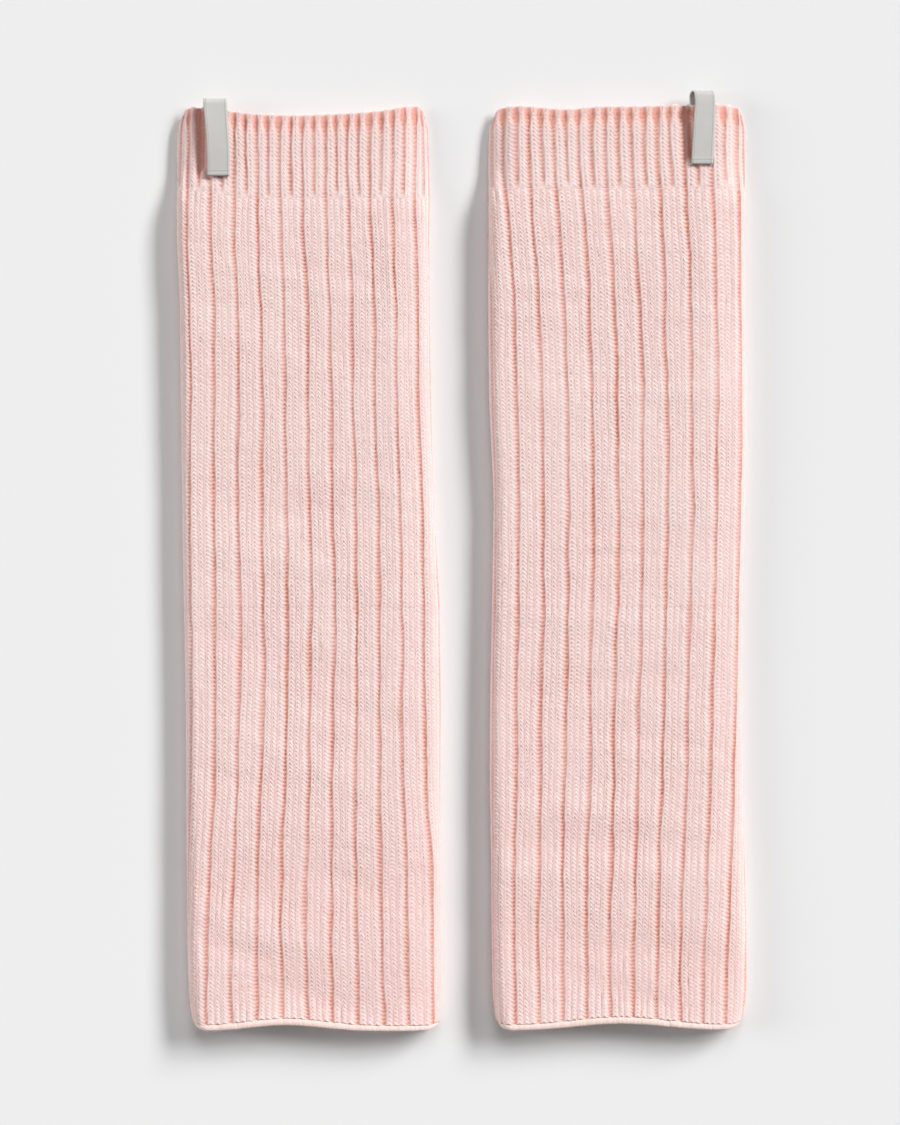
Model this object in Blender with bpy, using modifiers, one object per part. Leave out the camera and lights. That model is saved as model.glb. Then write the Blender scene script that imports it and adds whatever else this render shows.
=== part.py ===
"""A pair of ribbed-knit leg warmers lying flat side by side, cuffs towards +Y.

Each is one circular-knit tube, 96 needles round: a 3x1 rib leg, a 1x1 rib cuff, a narrow tubular
hem, and a folded ribbon loop over the cuff's edge. A knitted wall is a loft of rings. A ring is a
flat spine wrapped by a round side fold, and a place on it is counted in bands, where band 0 starts
at the first purl column of the upper face and 24 bands go once round.
"""

from collections import namedtuple

import bpy
import numpy as np

MM = 0.001
SEAM_GAP = 0.3

# The knit, in millimetres: its wall over the crowns, where its stitch changes, and its rounded rim
WALL = 2.4
HEM_HEIGHT = 3.2
CUFF_START = 380.4
RIM_HEIGHT = 1.3
RIM_INSET = 0.7
BEAD_BEVEL = 0.7

# Rings of points: where the leg has one more under the cuff, how far each of the cuff's lies below
# its mouth, and how many of the leg's rings the plain inside skips
UNDER_CUFF = 370.0
CUFF_RINGS_BELOW_MOUTH = (26.0, 16.0, 8.0, 4.0, RIM_HEIGHT)
CUFF_INSIDE_RINGS_BELOW_MOUTH = (RIM_HEIGHT, 8.0)
INSIDE_STEP = 2

# Bands round the tube: the upper face, each side fold, and the plain underside
TOP_BANDS = 10
SIDE_BANDS = 2
ROUND_BANDS = 24
UNDERSIDE_STEP = 2

# One rib from purl column to purl column: how far along it, and how deep below its crown
LEG_RIB = ((0.0, 1.15), (0.17, 0.2), (0.5, 0.0), (0.83, 0.2))
CUFF_RIB = ((0.0, 0.95), (0.3, 0.08), (0.7, 0.08))
LEG_RIBS_PER_BAND = 1
CUFF_RIBS_PER_BAND = 2

# The ribbon loop
RIBBON_THICK = 1.0
RIBBON_BULGE = 1.3
LOOP_STEPS = 6
LEG_STEPS = 6

# How far from each end its curve is felt along the tube
HEM_FADE = 55.0
MOUTH_FADE = 45.0
CORNER_FADE = 13.0

# A warmer's rows, from its hem up, in millimetres from its own centre line. left and right are the
# outline. first and last are the first and last purl columns of the upper face, measured along the
# cloth, so that one may lie round the side fold. lean moves the middle columns sideways, and thick
# is the height of the flattened tube.
Row = namedtuple("Row", "height left right first last lean thick")

LEFT_ROWS = (
    Row(0.0, -50.6, 57.8, -56.9, 56.9, 0.2, 10.0),
    Row(6.0, -52.8, 59.3, -56.9, 56.9, 0.2, 10.1),
    Row(19.0, -54.2, 59.6, -56.9, 56.6, 0.0, 10.4),
    Row(46.0, -55.0, 59.6, -56.2, 56.4, -0.9, 10.8),
    Row(78.0, -55.1, 59.4, -54.5, 55.8, -1.1, 11.0),
    Row(114.0, -55.4, 59.3, -52.8, 53.1, 0.2, 11.0),
    Row(150.0, -55.6, 59.6, -52.4, 52.4, 1.1, 10.8),
    Row(195.0, -56.5, 59.0, -52.9, 52.0, 2.0, 10.6),
    Row(240.0, -57.2, 56.2, -53.3, 51.5, 1.6, 10.5),
    Row(285.0, -57.8, 55.1, -52.9, 49.5, 1.9, 10.6),
    Row(330.0, -58.3, 54.5, -53.3, 49.1, 1.9, 10.8),
    Row(357.0, -59.6, 54.2, -54.5, 48.6, 1.4, 11.2),
    Row(380.0, -59.6, 54.7, -54.2, 47.7, 1.2, 11.5),
    Row(397.0, -60.1, 54.2, -53.8, 48.4, 0.2, 11.5),
    Row(410.5, -59.6, 53.9, -53.8, 48.4, 0.2, 11.5),
    Row(417.6, -57.6, 52.4, -53.8, 48.4, 0.2, 11.5),
)
RIGHT_ROWS = (
    Row(0.0, -53.0, 54.2, -56.7, 48.6, 0.9, 10.0),
    Row(6.0, -55.3, 56.6, -56.7, 48.6, 0.9, 10.1),
    Row(19.0, -56.5, 58.3, -56.8, 48.8, 0.8, 10.4),
    Row(46.0, -56.9, 58.3, -57.3, 49.9, 0.3, 10.8),
    Row(78.0, -57.1, 57.4, -57.2, 51.1, 0.2, 11.0),
    Row(114.0, -57.8, 56.2, -56.7, 52.5, 0.4, 11.0),
    Row(150.0, -57.6, 56.2, -56.7, 53.6, 0.2, 10.8),
    Row(195.0, -56.7, 56.2, -56.0, 54.5, 0.8, 10.6),
    Row(240.0, -55.9, 57.6, -55.6, 55.8, 0.3, 10.5),
    Row(285.0, -58.1, 58.1, -56.9, 56.0, 0.5, 10.6),
    Row(330.0, -58.4, 57.4, -57.6, 55.8, -0.5, 10.8),
    Row(357.0, -58.2, 56.9, -59.4, 56.0, -1.4, 11.2),
    Row(380.0, -58.3, 58.1, -61.5, 55.1, -1.3, 11.5),
    Row(397.0, -58.4, 58.4, -62.1, 54.5, -1.6, 11.5),
    Row(410.5, -57.8, 58.2, -62.1, 54.5, -1.6, 11.5),
    Row(416.9, -55.8, 56.8, -62.1, 54.5, -1.6, 11.5),
)

# An end's curve: how far it moves along Y at most, where across, over what half width, the share of
# it on the lower layer, and how far the side folds' corners draw back
EndCurve = namedtuple("EndCurve", "reach centre half_width lower_share corner")

# A ribbon loop: its centre line across at its top and at its foot, its width, and the heights of both
Loop = namedtuple("Loop", "top_x foot_x width top foot")

Warmer = namedtuple("Warmer", "name centre mouth rows hem_curve mouth_curve loop")

WARMERS = (
    Warmer(
        name="left",
        centre=-69.7,
        mouth=417.6,
        rows=LEFT_ROWS,
        hem_curve=EndCurve(3.4, -10.0, 24.0, 1.0, 0.9),
        mouth_curve=EndCurve(5.0, -3.0, 34.0, 0.2, 4.5),
        loop=Loop(top_x=-42.0, foot_x=-40.9, width=10.5, top=420.1, foot=385.3),
    ),
    Warmer(
        name="right",
        centre=69.7,
        mouth=416.9,
        rows=RIGHT_ROWS,
        hem_curve=EndCurve(3.3, 1.0, 30.0, 1.0, 0.9),
        mouth_curve=EndCurve(3.4, -24.0, 20.0, 0.15, 4.5),
        loop=Loop(top_x=38.2, foot_x=37.9, width=10.4, top=423.7, foot=390.2),
    ),
)

# Colours, as linear RGB
KNIT_PINK = (0.76, 0.50, 0.45, 1.0)
HEM_CREAM = (0.84, 0.66, 0.58, 1.0)
RIBBON_GREY = (0.66, 0.67, 0.65, 1.0)


def material(name, colour, roughness):
    """A plain cloth finish."""
    finish = bpy.data.materials.new(name)
    finish.use_nodes = True
    shader = finish.node_tree.nodes["Principled BSDF"]
    shader.inputs["Base Color"].default_value = colour
    shader.inputs["Roughness"].default_value = roughness
    shader.inputs["Metallic"].default_value = 0.0
    return finish


def row_at(warmer, height):
    """The warmer's row at any height, read between its own rows."""
    heights = [row.height for row in warmer.rows]
    values = [np.interp(height, heights, column) for column in zip(*warmer.rows)]
    return Row(*values)


def rib_columns(rib, ribs_per_band):
    """Places round the ring, in bands, and each one's depth below the crowns. The underside is plain."""
    first = -SIDE_BANDS
    last = TOP_BANDS + SIDE_BANDS
    places = []
    depths = []
    for index in range((last - first) * ribs_per_band):
        for share, depth in rib:
            places.append(first + (index + share) / ribs_per_band)
            depths.append(depth)
    depths[0] = 0.0
    for place in range(last, ROUND_BANDS - SIDE_BANDS, UNDERSIDE_STEP):
        places.append(place)
        depths.append(0.0)
    return np.array(places), np.array(depths)


def ring(row, places, inset):
    """x, z and the turn of the cloth at these places, inset from the crowns.

    s is the distance along the cloth from the centre of the upper face. The spine is flat, and the
    turn goes from 0 on the upper face, round the side fold of radius r, to half a turn beneath.
    """
    r = row.thick / 2
    middle = (row.left + row.right) / 2
    flat = (row.right - row.left) / 2 - r
    fold_end = flat + np.pi * r
    knots = (-SIDE_BANDS, 0, TOP_BANDS, TOP_BANDS + SIDE_BANDS, ROUND_BANDS - SIDE_BANDS)
    along = (-fold_end, row.first - middle, row.last - middle, fold_end, fold_end + 2 * flat)
    s = np.interp(places, knots, along)
    share = np.clip(places / TOP_BANDS, 0, 1)
    s = s + 4 * row.lean * share * (1 - share)
    turn = np.sign(s) * np.clip((np.abs(s) - flat) / r, 0, np.pi)
    spine = np.where(s > fold_end, flat - (s - fold_end), np.clip(s, -flat, flat))
    x = middle + spine + (r - inset) * np.sin(turn)
    z = r + (r - inset) * np.cos(turn)
    return x, z, turn


def end_shift(warmer, height, x, turn):
    """How far the hem's arch and the mouth's dip move the knit along Y, fading away from each end.

    The hem's own edge moves whole, so that its seam stays even.
    """

    def curve(end, fade, corner_fade):
        bell = np.exp(-(((x - end.centre) / end.half_width) ** 2))
        upper = (1 + np.cos(turn)) / 2
        layer = end.lower_share + (1 - end.lower_share) * upper
        return end.reach * bell * layer * fade + end.corner * np.sin(turn) ** 2 * corner_fade

    above = max(0, height - HEM_HEIGHT - SEAM_GAP)
    below = warmer.mouth - height
    hem = curve(
        warmer.hem_curve,
        max(0, 1 - above / HEM_FADE) ** 2,
        max(0, 1 - above / CORNER_FADE) ** 2,
    )
    mouth = curve(
        warmer.mouth_curve,
        max(0, 1 - below / MOUTH_FADE) ** 2,
        max(0, 1 - below / CORNER_FADE) ** 2,
    )
    return hem - mouth


def knit_ring(warmer, height, inset, places):
    """One ring of points of a knitted wall."""
    x, z, turn = ring(row_at(warmer, height), places, inset)
    y = height + end_shift(warmer, height, x, turn)
    return np.column_stack((x + warmer.centre, y, z))


def loft(name, rings, finish):
    """A closed wall from rings that go once round, the last ring joined to the first."""
    rows = len(rings)
    columns = len(rings[0])
    row, column = np.meshgrid(np.arange(rows), np.arange(columns), indexing="ij")
    next_row = (row + 1) % rows
    next_column = (column + 1) % columns
    corners = (
        row * columns + column,
        row * columns + next_column,
        next_row * columns + next_column,
        next_row * columns + column,
    )
    faces = np.stack(corners, axis=-1).reshape(-1, 4)
    points = np.concatenate(rings) * MM
    mesh = bpy.data.meshes.new(name)
    mesh.from_pydata(points.tolist(), [], faces.tolist())
    return finished(name, mesh, finish)


def finished(name, mesh, finish):
    mesh.materials.append(finish)
    mesh.shade_smooth()
    piece = bpy.data.objects.new(name, mesh)
    pair.objects.link(piece)
    return piece


def ribbed_wall(name, warmer, outside, rims, inside, rib, ribs_per_band, finish):
    """A ribbed wall: outside heights going up, the top rim's points, and inside heights going down.

    Each rim point is its height and its inset. The ribs fade out over the rim, and the inside is
    plain.
    """
    places, depths = rib_columns(rib, ribs_per_band)
    rings = [knit_ring(warmer, height, depths, places) for height in outside]
    for height, inset in rims:
        groove_left = depths * (1 - inset / WALL)
        rings.append(knit_ring(warmer, height, inset + groove_left, places))
    rings += [knit_ring(warmer, height, WALL, places) for height in inside]
    return loft(name, rings, finish)


def make_leg(warmer):
    start = HEM_HEIGHT + SEAM_GAP
    end = CUFF_START - SEAM_GAP
    between = [row.height for row in warmer.rows if start < row.height < UNDER_CUFF]
    heights = [start, *between, UNDER_CUFF, end]
    return ribbed_wall(
        name=f"{warmer.name}_tube",
        warmer=warmer,
        outside=heights,
        rims=(),
        inside=[*heights[:0:-INSIDE_STEP], start],
        rib=LEG_RIB,
        ribs_per_band=LEG_RIBS_PER_BAND,
        finish=knit,
    )


def make_cuff(warmer):
    mouth = warmer.mouth
    return ribbed_wall(
        name=f"{warmer.name}_cuff",
        warmer=warmer,
        outside=[CUFF_START, *(mouth - below for below in CUFF_RINGS_BELOW_MOUTH)],
        rims=((mouth, RIM_INSET), (mouth, WALL - RIM_INSET)),
        inside=[*(mouth - below for below in CUFF_INSIDE_RINGS_BELOW_MOUTH), CUFF_START],
        rib=CUFF_RIB,
        ribs_per_band=CUFF_RIBS_PER_BAND,
        finish=knit,
    )


def make_hem(warmer):
    """A narrow tubular edge: an eight-sided bead, flat where it rests, all round the opening.

    It has the leg's own places round the ring, so that its seam stays even, but no ribs.
    """
    places, _ = rib_columns(LEG_RIB, LEG_RIBS_PER_BAND)
    section = (
        (BEAD_BEVEL, 0.0),
        (HEM_HEIGHT - BEAD_BEVEL, 0.0),
        (HEM_HEIGHT, BEAD_BEVEL),
        (HEM_HEIGHT, WALL - BEAD_BEVEL),
        (HEM_HEIGHT - BEAD_BEVEL, WALL),
        (BEAD_BEVEL, WALL),
        (0.0, WALL - BEAD_BEVEL),
        (0.0, BEAD_BEVEL),
    )
    rings = [knit_ring(warmer, height, inset, places) for height, inset in section]
    return loft(f"{warmer.name}_hem", rings, hem_edge)


def make_label(warmer):
    """A ribbon folded over the cuff's edge: one leg on the cuff, a round bend, one leg inside it."""
    loop = warmer.loop
    clear = SEAM_GAP + RIBBON_THICK / 2
    outer_z = row_at(warmer, warmer.mouth).thick + clear
    inner_z = outer_z - WALL - 2 * clear
    bend = (outer_z - inner_z) / 2
    bend_y = loop.top - RIBBON_THICK / 2 - bend
    up = np.linspace(0, 1, LEG_STEPS)
    angle = np.linspace(0, np.pi, LOOP_STEPS + 2)[1:-1]
    y = np.concatenate(
        (
            loop.foot + (bend_y - loop.foot) * up,
            bend_y + bend * np.sin(angle),
            bend_y + (loop.foot - bend_y) * up,
        )
    )
    z = np.concatenate(
        (
            outer_z + RIBBON_BULGE * np.sin(np.pi * up),
            (outer_z + inner_z) / 2 + bend * np.cos(angle),
            np.full(LEG_STEPS, inner_z),
        )
    )
    lean = (y - loop.foot) / (loop.top - loop.foot)
    middle = loop.foot_x + (loop.top_x - loop.foot_x) * lean + warmer.centre
    left = np.column_stack((middle - loop.width / 2, y, z))
    right = np.column_stack((middle + loop.width / 2, y, z))
    count = len(y)
    faces = [(i, i + count, i + count + 1, i + 1) for i in range(count - 1)]
    mesh = bpy.data.meshes.new(f"{warmer.name}_label")
    mesh.from_pydata((np.concatenate((left, right)) * MM).tolist(), [], faces)
    label = finished(f"{warmer.name}_label", mesh, ribbon)
    thicken = label.modifiers.new("Ribbon thickness", "SOLIDIFY")
    thicken.thickness = RIBBON_THICK * MM
    thicken.offset = 0.0
    thicken.use_even_offset = True
    return label


def centre_on_origin(pieces):
    """Moves every mesh so that the pair stands on z = 0 with the middle of its box over the origin."""
    bpy.context.view_layer.update()
    corners = np.array([corner[:] for piece in pieces for corner in piece.bound_box])
    low = corners.min(axis=0)
    high = corners.max(axis=0)
    for piece in pieces:
        piece.location.x -= (low[0] + high[0]) / 2
        piece.location.y -= (low[1] + high[1]) / 2


for leftover in list(bpy.data.objects):
    bpy.data.objects.remove(leftover)
pair = bpy.data.collections.new("leg_warmers")
bpy.context.scene.collection.children.link(pair)

knit = material("ribbed knit", KNIT_PINK, 0.9)
hem_edge = material("tubular hem", HEM_CREAM, 0.85)
ribbon = material("satin ribbon", RIBBON_GREY, 0.45)

made = []
for one in WARMERS:
    made += [make_leg(one), make_cuff(one), make_hem(one), make_label(one)]
centre_on_origin(made)
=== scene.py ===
"""A pair of ribbed-knit leg warmers lying flat side by side, cuffs towards +Y.

Lengths are in millimetres until a mesh is filled, and every piece lies where its solids lie in the
frame. A warmer is one circular-knit tube, 96 needles round: places round it are counted in bands of
four needles, where band 0 starts at the first purl groove of the upper face.
"""

from collections import namedtuple

import bpy
import numpy as np
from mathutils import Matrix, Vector


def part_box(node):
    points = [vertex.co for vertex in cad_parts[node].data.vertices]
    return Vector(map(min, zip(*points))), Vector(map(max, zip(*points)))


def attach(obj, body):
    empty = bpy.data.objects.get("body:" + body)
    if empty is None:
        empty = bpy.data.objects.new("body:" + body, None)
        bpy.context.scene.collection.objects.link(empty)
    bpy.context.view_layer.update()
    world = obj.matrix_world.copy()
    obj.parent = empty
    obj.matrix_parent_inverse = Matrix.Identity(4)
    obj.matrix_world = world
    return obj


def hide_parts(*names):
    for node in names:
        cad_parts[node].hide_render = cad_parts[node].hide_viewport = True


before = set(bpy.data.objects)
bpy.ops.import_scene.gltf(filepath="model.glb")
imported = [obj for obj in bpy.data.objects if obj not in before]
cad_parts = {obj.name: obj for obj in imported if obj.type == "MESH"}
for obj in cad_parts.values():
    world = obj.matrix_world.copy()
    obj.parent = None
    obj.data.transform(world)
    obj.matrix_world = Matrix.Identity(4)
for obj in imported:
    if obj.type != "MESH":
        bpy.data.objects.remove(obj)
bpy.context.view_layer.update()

# ---------------------------------------------------------------------------------------------
# The two legs: a 3x1 rib, three knit wales and a purl groove to a band, 209 courses tall, in soft
# pink yarn. Each is knitted in the round with no side seam and lies pressed flat, so its side
# folds round over to a plain underside. Two pieces make up a leg, joined in the middle of a course.
# ---------------------------------------------------------------------------------------------
# WALL is the knit's thickness over the ribs, LEG_FOOT and CUFF_START where leg and cuff start above
# the foot, and INSIDE_STEP how far apart the plain inside's rings are.
MM = 0.001
WALL = 2.4
LEG_FOOT = 3.5
CUFF_START = 380.4
LEG_COURSES = 209
LOWER_COURSES = 104
INSIDE_STEP = 12.0

# A curve read off a table is rounded by the mean of these readings, as far apart as its rounding.
# The outline's draw together within END_ROOM of its two ends.
READINGS = np.linspace(-1, 1, 5)
OUTLINE_ROUNDING = 5.0
END_ROOM = 15.0
MOUTH_ROUNDING = 4.0

# Bands of the rib on the upper face, in each side fold and all round, and the columns of points
# on the plain underside.
TOP_BANDS = 10
SIDE_BANDS = 2
ROUND_BANDS = 24
UNDERSIDE_COLUMNS = 22
NEEDLES_IN_BAND = 4

# How far the hem's arch carries up the leg, the cuff's hang down it, and both ends' corners.
HEM_FADE = 55.0
CUFF_PULL_FADE = 90.0
CORNER_FADE = 13.0

# left and right are the outline about the warmer's own centre line, first and last its first and
# last purl grooves along the cloth, lean how far the middle grooves bow, thick its height.
Row = namedtuple("Row", "height left right first last lean thick")
LEFT_ROWS = (
    Row(0.0, -50.6, 57.8, -56.9, 56.9, 0.2, 11.5),
    Row(6.0, -52.8, 59.3, -56.9, 56.9, 0.2, 11.8),
    Row(19.0, -54.2, 59.6, -56.9, 56.6, 0.0, 11.9),
    Row(46.0, -55.0, 59.6, -56.2, 56.4, -0.9, 11.6),
    Row(78.0, -55.1, 59.4, -54.5, 55.8, -1.1, 11.3),
    Row(114.0, -55.4, 59.3, -52.8, 53.1, 0.2, 11.0),
    Row(150.0, -55.6, 59.6, -52.4, 52.4, 1.1, 10.8),
    Row(195.0, -56.5, 59.0, -52.9, 52.0, 2.0, 10.6),
    Row(240.0, -57.2, 56.2, -53.3, 51.5, 1.6, 10.5),
    Row(285.0, -57.8, 55.1, -52.9, 49.5, 1.9, 10.6),
    Row(330.0, -58.3, 54.5, -53.3, 49.1, 1.9, 10.8),
    Row(357.0, -59.6, 54.2, -54.5, 48.6, 1.4, 11.0),
    Row(380.0, -59.6, 54.7, -54.2, 47.7, 1.2, 10.4),
    Row(397.0, -60.1, 54.2, -53.8, 48.4, 0.2, 8.6),
    Row(410.5, -59.6, 53.9, -53.8, 48.4, 0.2, 7.6),
    Row(417.6, -57.6, 52.4, -53.8, 48.4, 0.2, 7.2),
)
RIGHT_ROWS = (
    Row(0.0, -53.0, 54.2, -56.7, 48.6, 0.9, 11.2),
    Row(6.0, -55.3, 56.6, -56.7, 48.6, 0.9, 11.4),
    Row(19.0, -56.5, 58.3, -56.8, 48.8, 0.8, 11.4),
    Row(46.0, -56.9, 58.3, -57.3, 49.9, 0.3, 11.0),
    Row(78.0, -57.1, 57.4, -57.2, 51.1, 0.2, 10.6),
    Row(114.0, -57.8, 56.2, -56.7, 52.5, 0.4, 10.3),
    Row(150.0, -57.6, 56.2, -56.7, 53.6, 0.2, 10.0),
    Row(195.0, -56.7, 56.2, -56.0, 54.5, 0.8, 10.0),
    Row(240.0, -55.9, 57.6, -55.6, 55.8, 0.3, 10.2),
    Row(285.0, -58.1, 58.1, -56.9, 56.0, 0.5, 10.6),
    Row(330.0, -58.4, 57.4, -57.6, 55.8, -0.5, 10.8),
    Row(357.0, -58.2, 56.9, -59.4, 56.0, -1.4, 11.0),
    Row(380.0, -58.3, 58.1, -61.5, 55.1, -1.3, 10.4),
    Row(397.0, -58.4, 58.4, -62.1, 54.5, -1.6, 8.6),
    Row(410.5, -57.8, 58.2, -62.1, 54.5, -1.6, 7.6),
    Row(416.9, -55.8, 56.8, -62.1, 54.5, -1.6, 7.2),
)

# The hem's arch: how high it is, where across, over what half width, and how far the side folds'
# corners draw back.
Arch = namedtuple("Arch", "reach centre half_width corner")

# How far the knit hangs down at x: at the mouth's edge, and where the cuff meets the leg. The lower
# layer's edge drops a little more.
Hang = namedtuple("Hang", "x edge foot")
LEFT_HANG = (
    Hang(-60, 1.5, 0.0),
    Hang(-50, 0.3, 0.3),
    Hang(-43, 0.8, 1.6),
    Hang(-35, 2.5, 3.4),
    Hang(-25, 3.7, 4.1),
    Hang(-8, 4.4, 4.3),
    Hang(8, 3.9, 4.3),
    Hang(17, 3.4, 4.3),
    Hang(25, 2.9, 4.3),
    Hang(35, 1.9, 4.3),
    Hang(41, 0.6, 4.2),
    Hang(46, -0.7, 4.2),
    Hang(54, 0.2, 4.0),
)
RIGHT_HANG = (
    Hang(-58, 1.0, 0.0),
    Hang(-48, -0.4, 0.0),
    Hang(-40, -0.3, 0.0),
    Hang(-32, 0.6, 0.2),
    Hang(-24, 1.3, 0.4),
    Hang(-17, 0.7, 0.3),
    Hang(-10, -0.2, 0.0),
    Hang(8, -0.2, 0.0),
    Hang(28, -0.8, -0.2),
    Hang(40, -1.2, -0.4),
    Hang(48, -1.0, -0.4),
    Hang(58, 0.4, 0.0),
)
LOWER_EDGE_DROP = 0.7

# A crease: a soft trough from one point to another, or a ridge where its depth is negative. Past
# its ends it fades over CREASE_END widths. The last two of each warmer are the dip where cuff and
# leg meet, and the furrow beside its label, where the stitches pull the cuff in.
Crease = namedtuple("Crease", "x0 height0 x1 height1 depth width")
CREASE_END = 1.6
LEFT_CREASES = (
    Crease(-44, 316, 10, 298, -0.18, 5.0),
    Crease(-44, 244, 28, 231, 0.34, 8.0),
    Crease(-40, 219, 19, 206, -0.28, 6.0),
    Crease(-44, 179, 10, 159, 0.34, 7.0),
    Crease(-13, 154, 41, 140, 0.28, 6.0),
    Crease(-26, 132, 23, 111, -0.34, 6.0),
    Crease(-44, 118, -22, 114, 0.28, 6.0),
    Crease(-31, 69, 41, 64, 0.50, 12.0),
    Crease(-44, 42, -22, 33, 0.40, 6.0),
    Crease(-22, 44, -2, 40, -0.28, 5.0),
    Crease(-4, 22, 41, 16, 0.55, 12.0),
    Crease(-31, 2, -8, 2, -0.50, 8.0),
    Crease(-60, 379, 60, 379, 0.12, 2.6),
    Crease(-47.6, 390, -48.4, 416, 2.6, 2.8),
)
RIGHT_CREASES = (
    Crease(-44, 336, -13, 334, -0.20, 5.0),
    Crease(-40, 289, 41, 287, -0.16, 6.0),
    Crease(-17, 226, 46, 222, 0.18, 5.0),
    Crease(-44, 190, 41, 181, -0.20, 6.0),
    Crease(-44, 102, 14, 99, -0.24, 6.0),
    Crease(-44, 86, 32, 84, 0.32, 7.0),
    Crease(-44, 72, 32, 70, -0.28, 8.0),
    Crease(-40, 44, 50, 28, 0.70, 11.0),
    Crease(-37, 31, 14, 13, 0.40, 6.5),
    Crease(-40, 8, 1, 6, -0.35, 10.0),
    Crease(-60, 379, 60, 379, 0.12, 2.6),
    Crease(32.4, 394, 31.8, 416, 2.9, 1.8),
)

# Small creases strewn over each leg: the lowest and highest x and height of their middles, the
# spread of their depth and lean, and the least and most of half their length and of their width.
SMALL_CREASES = 110
SMALL_FIELD = ((-50, 12), (50, 372))
SMALL_DEPTH = 0.08
SMALL_LEAN = 0.1
SMALL_HALF = (8, 30)
SMALL_WIDTH = (3, 7)

# Painted shade, as how much pinker and darker the yarn is made: for each millimetre of a crease's
# depth, shade in its trough and painted light on a ridge; at the foot, where the light falls off,
# from where it fades out by FOOT_PAINTED_SHADE_TOP; and along the joint of leg and cuff, in its dip.
CREASE_PAINTED_SHADE = 0.06
FOOT_PAINTED_SHADE = 0.05
FOOT_PAINTED_SHADE_TOP = 220.0
JOINT_PAINTED_SHADE = 0.12

# The grooves' slow wander sideways: how far, and its wave's length up the leg over 2 pi and shift
# from band to band. It sets in from the first and last groove inwards.
Wave = namedtuple("Wave", "reach length shift")
WANDER = (Wave(0.22, 17.3, 1.7), Wave(0.13, 6.1, -2.3))
WANDER_RISE = 1.5

# The upper layer lifts towards the hem.
FLARE_LIFT = 1.3
FLARE_FADE = 16.0

# The cuff's side folds lie pressed flatter than the leg's by a share of their height, from
# PINCH_INNER of the half width outwards, and so, all the way up, do the right sides of both.
PINCH = 0.45
PINCH_INNER = 0.78
PINCH_FOOT = 370.0
PINCH_TOP = 392.0
RIGHT_SLOPE = 0.22
RIGHT_INNER = 0.68


def small_creases(seed, lean):
    """Faint short creases and ridges strewn over a leg, leaning down to the right by this slope."""
    rng = np.random.default_rng(seed)
    middle = rng.uniform(*SMALL_FIELD, (SMALL_CREASES, 2))
    half = rng.uniform(*SMALL_HALF, SMALL_CREASES)
    fall = half * rng.normal(lean, SMALL_LEAN, SMALL_CREASES)
    depth = rng.normal(0, SMALL_DEPTH, SMALL_CREASES)
    width = rng.uniform(*SMALL_WIDTH, SMALL_CREASES)
    x, height = middle.T
    numbers = zip(x - half, height + fall, x + half, height - fall, depth, width)
    return tuple(Crease(*one) for one in numbers)


Warmer = namedtuple("Warmer", "name rows mouth hem_curve hang mouth_corner creases")
WARMERS = (
    Warmer(
        name="left",
        rows=LEFT_ROWS,
        mouth=417.6,
        hem_curve=Arch(3.5, -10.0, 24.0, 1.2),
        hang=LEFT_HANG,
        mouth_corner=4.5,
        creases=LEFT_CREASES + small_creases(seed=71, lean=0.20),
    ),
    Warmer(
        name="right",
        rows=RIGHT_ROWS,
        mouth=416.9,
        hem_curve=Arch(3.9, 1.0, 30.0, 1.2),
        hang=RIGHT_HANG,
        mouth_corner=4.5,
        creases=RIGHT_CREASES + small_creases(seed=72, lean=0.06),
    ),
)

# One band across: how far along it, how deep the yarn's crown and the gap between two courses lie,
# how far the line of stitches is lifted there, in courses, and how pink the yarn looks, which is
# painted shade, most in the groove. The last two and the first are the groove. Each knit wale has a
# light stroke on either side of its gaps.
Column = namedtuple("Column", "place crown gap lift tone")
LEG_COLUMNS = (
    Column(0.000, 0.30, 0.46, -0.45, 0.40),
    Column(0.025, 0.14, 0.22, -0.42, 0.38),
    Column(0.060, 0.02, 0.08, -0.20, 0.04),
    Column(0.145, 0.11, 0.42, 0.50, 0.00),
    Column(0.205, 0.00, 0.16, 0.05, 0.00),
    Column(0.260, 0.06, 0.24, -0.35, 0.02),
    Column(0.310, 0.19, 0.28, -0.60, 0.05),
    Column(0.350, 0.04, 0.10, -0.05, 0.02),
    Column(0.395, 0.11, 0.42, 0.50, 0.00),
    Column(0.455, 0.00, 0.16, 0.05, 0.00),
    Column(0.510, 0.06, 0.24, -0.35, 0.02),
    Column(0.560, 0.19, 0.28, -0.60, 0.06),
    Column(0.605, 0.04, 0.10, -0.05, 0.02),
    Column(0.655, 0.13, 0.40, 0.48, 0.00),
    Column(0.710, 0.00, 0.10, 0.05, 0.00),
    Column(0.775, 0.06, 0.20, -0.30, 0.00),
    Column(0.835, 0.20, 0.48, -0.56, 0.03),
    Column(0.885, 0.33, 0.70, -0.62, 0.10),
    Column(0.940, 0.40, 0.74, -0.50, 0.27),
)
# Where one wale goes over to the next in a band, and where a course's rows of points lie in it.
LEG_WALES = (-0.18, 0.01, 0.31, 0.56, 0.82)
ROW_PHASES = (0.0, 0.3, 0.7)
COURSE_ROWS = len(ROW_PHASES)

# Hand and yarn are uneven: each stitch's depth and lift, each wale's slant and drift, which change
# over TWIST_COURSES, and each groove's depth, which changes over RIB_COURSES. Slant and drift set
# in over a few courses from a piece's ends. Leg and cuff meet JOINT_COURSE below the first course
# of the cuff, in the middle of the leg's last.
STITCH_UNEVENNESS = 0.06
STITCH_LIFT = 0.05
WALE_TWIST = 0.14
WALE_DRIFT = 0.018
TWIST_COURSES = 11
DRIFT_FADE = 6
SLANT_FADE = 0.7
JOINT_COURSE = 0.5
RIB_UNEVENNESS = 0.11
RIB_COURSES = 18


def ease(value, low, high):
    """0 as far as low, 1 from high on, and a smooth S between them."""
    share = np.clip((value - low) / (high - low), 0, 1)
    return share * share * (3 - 2 * share)


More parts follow.
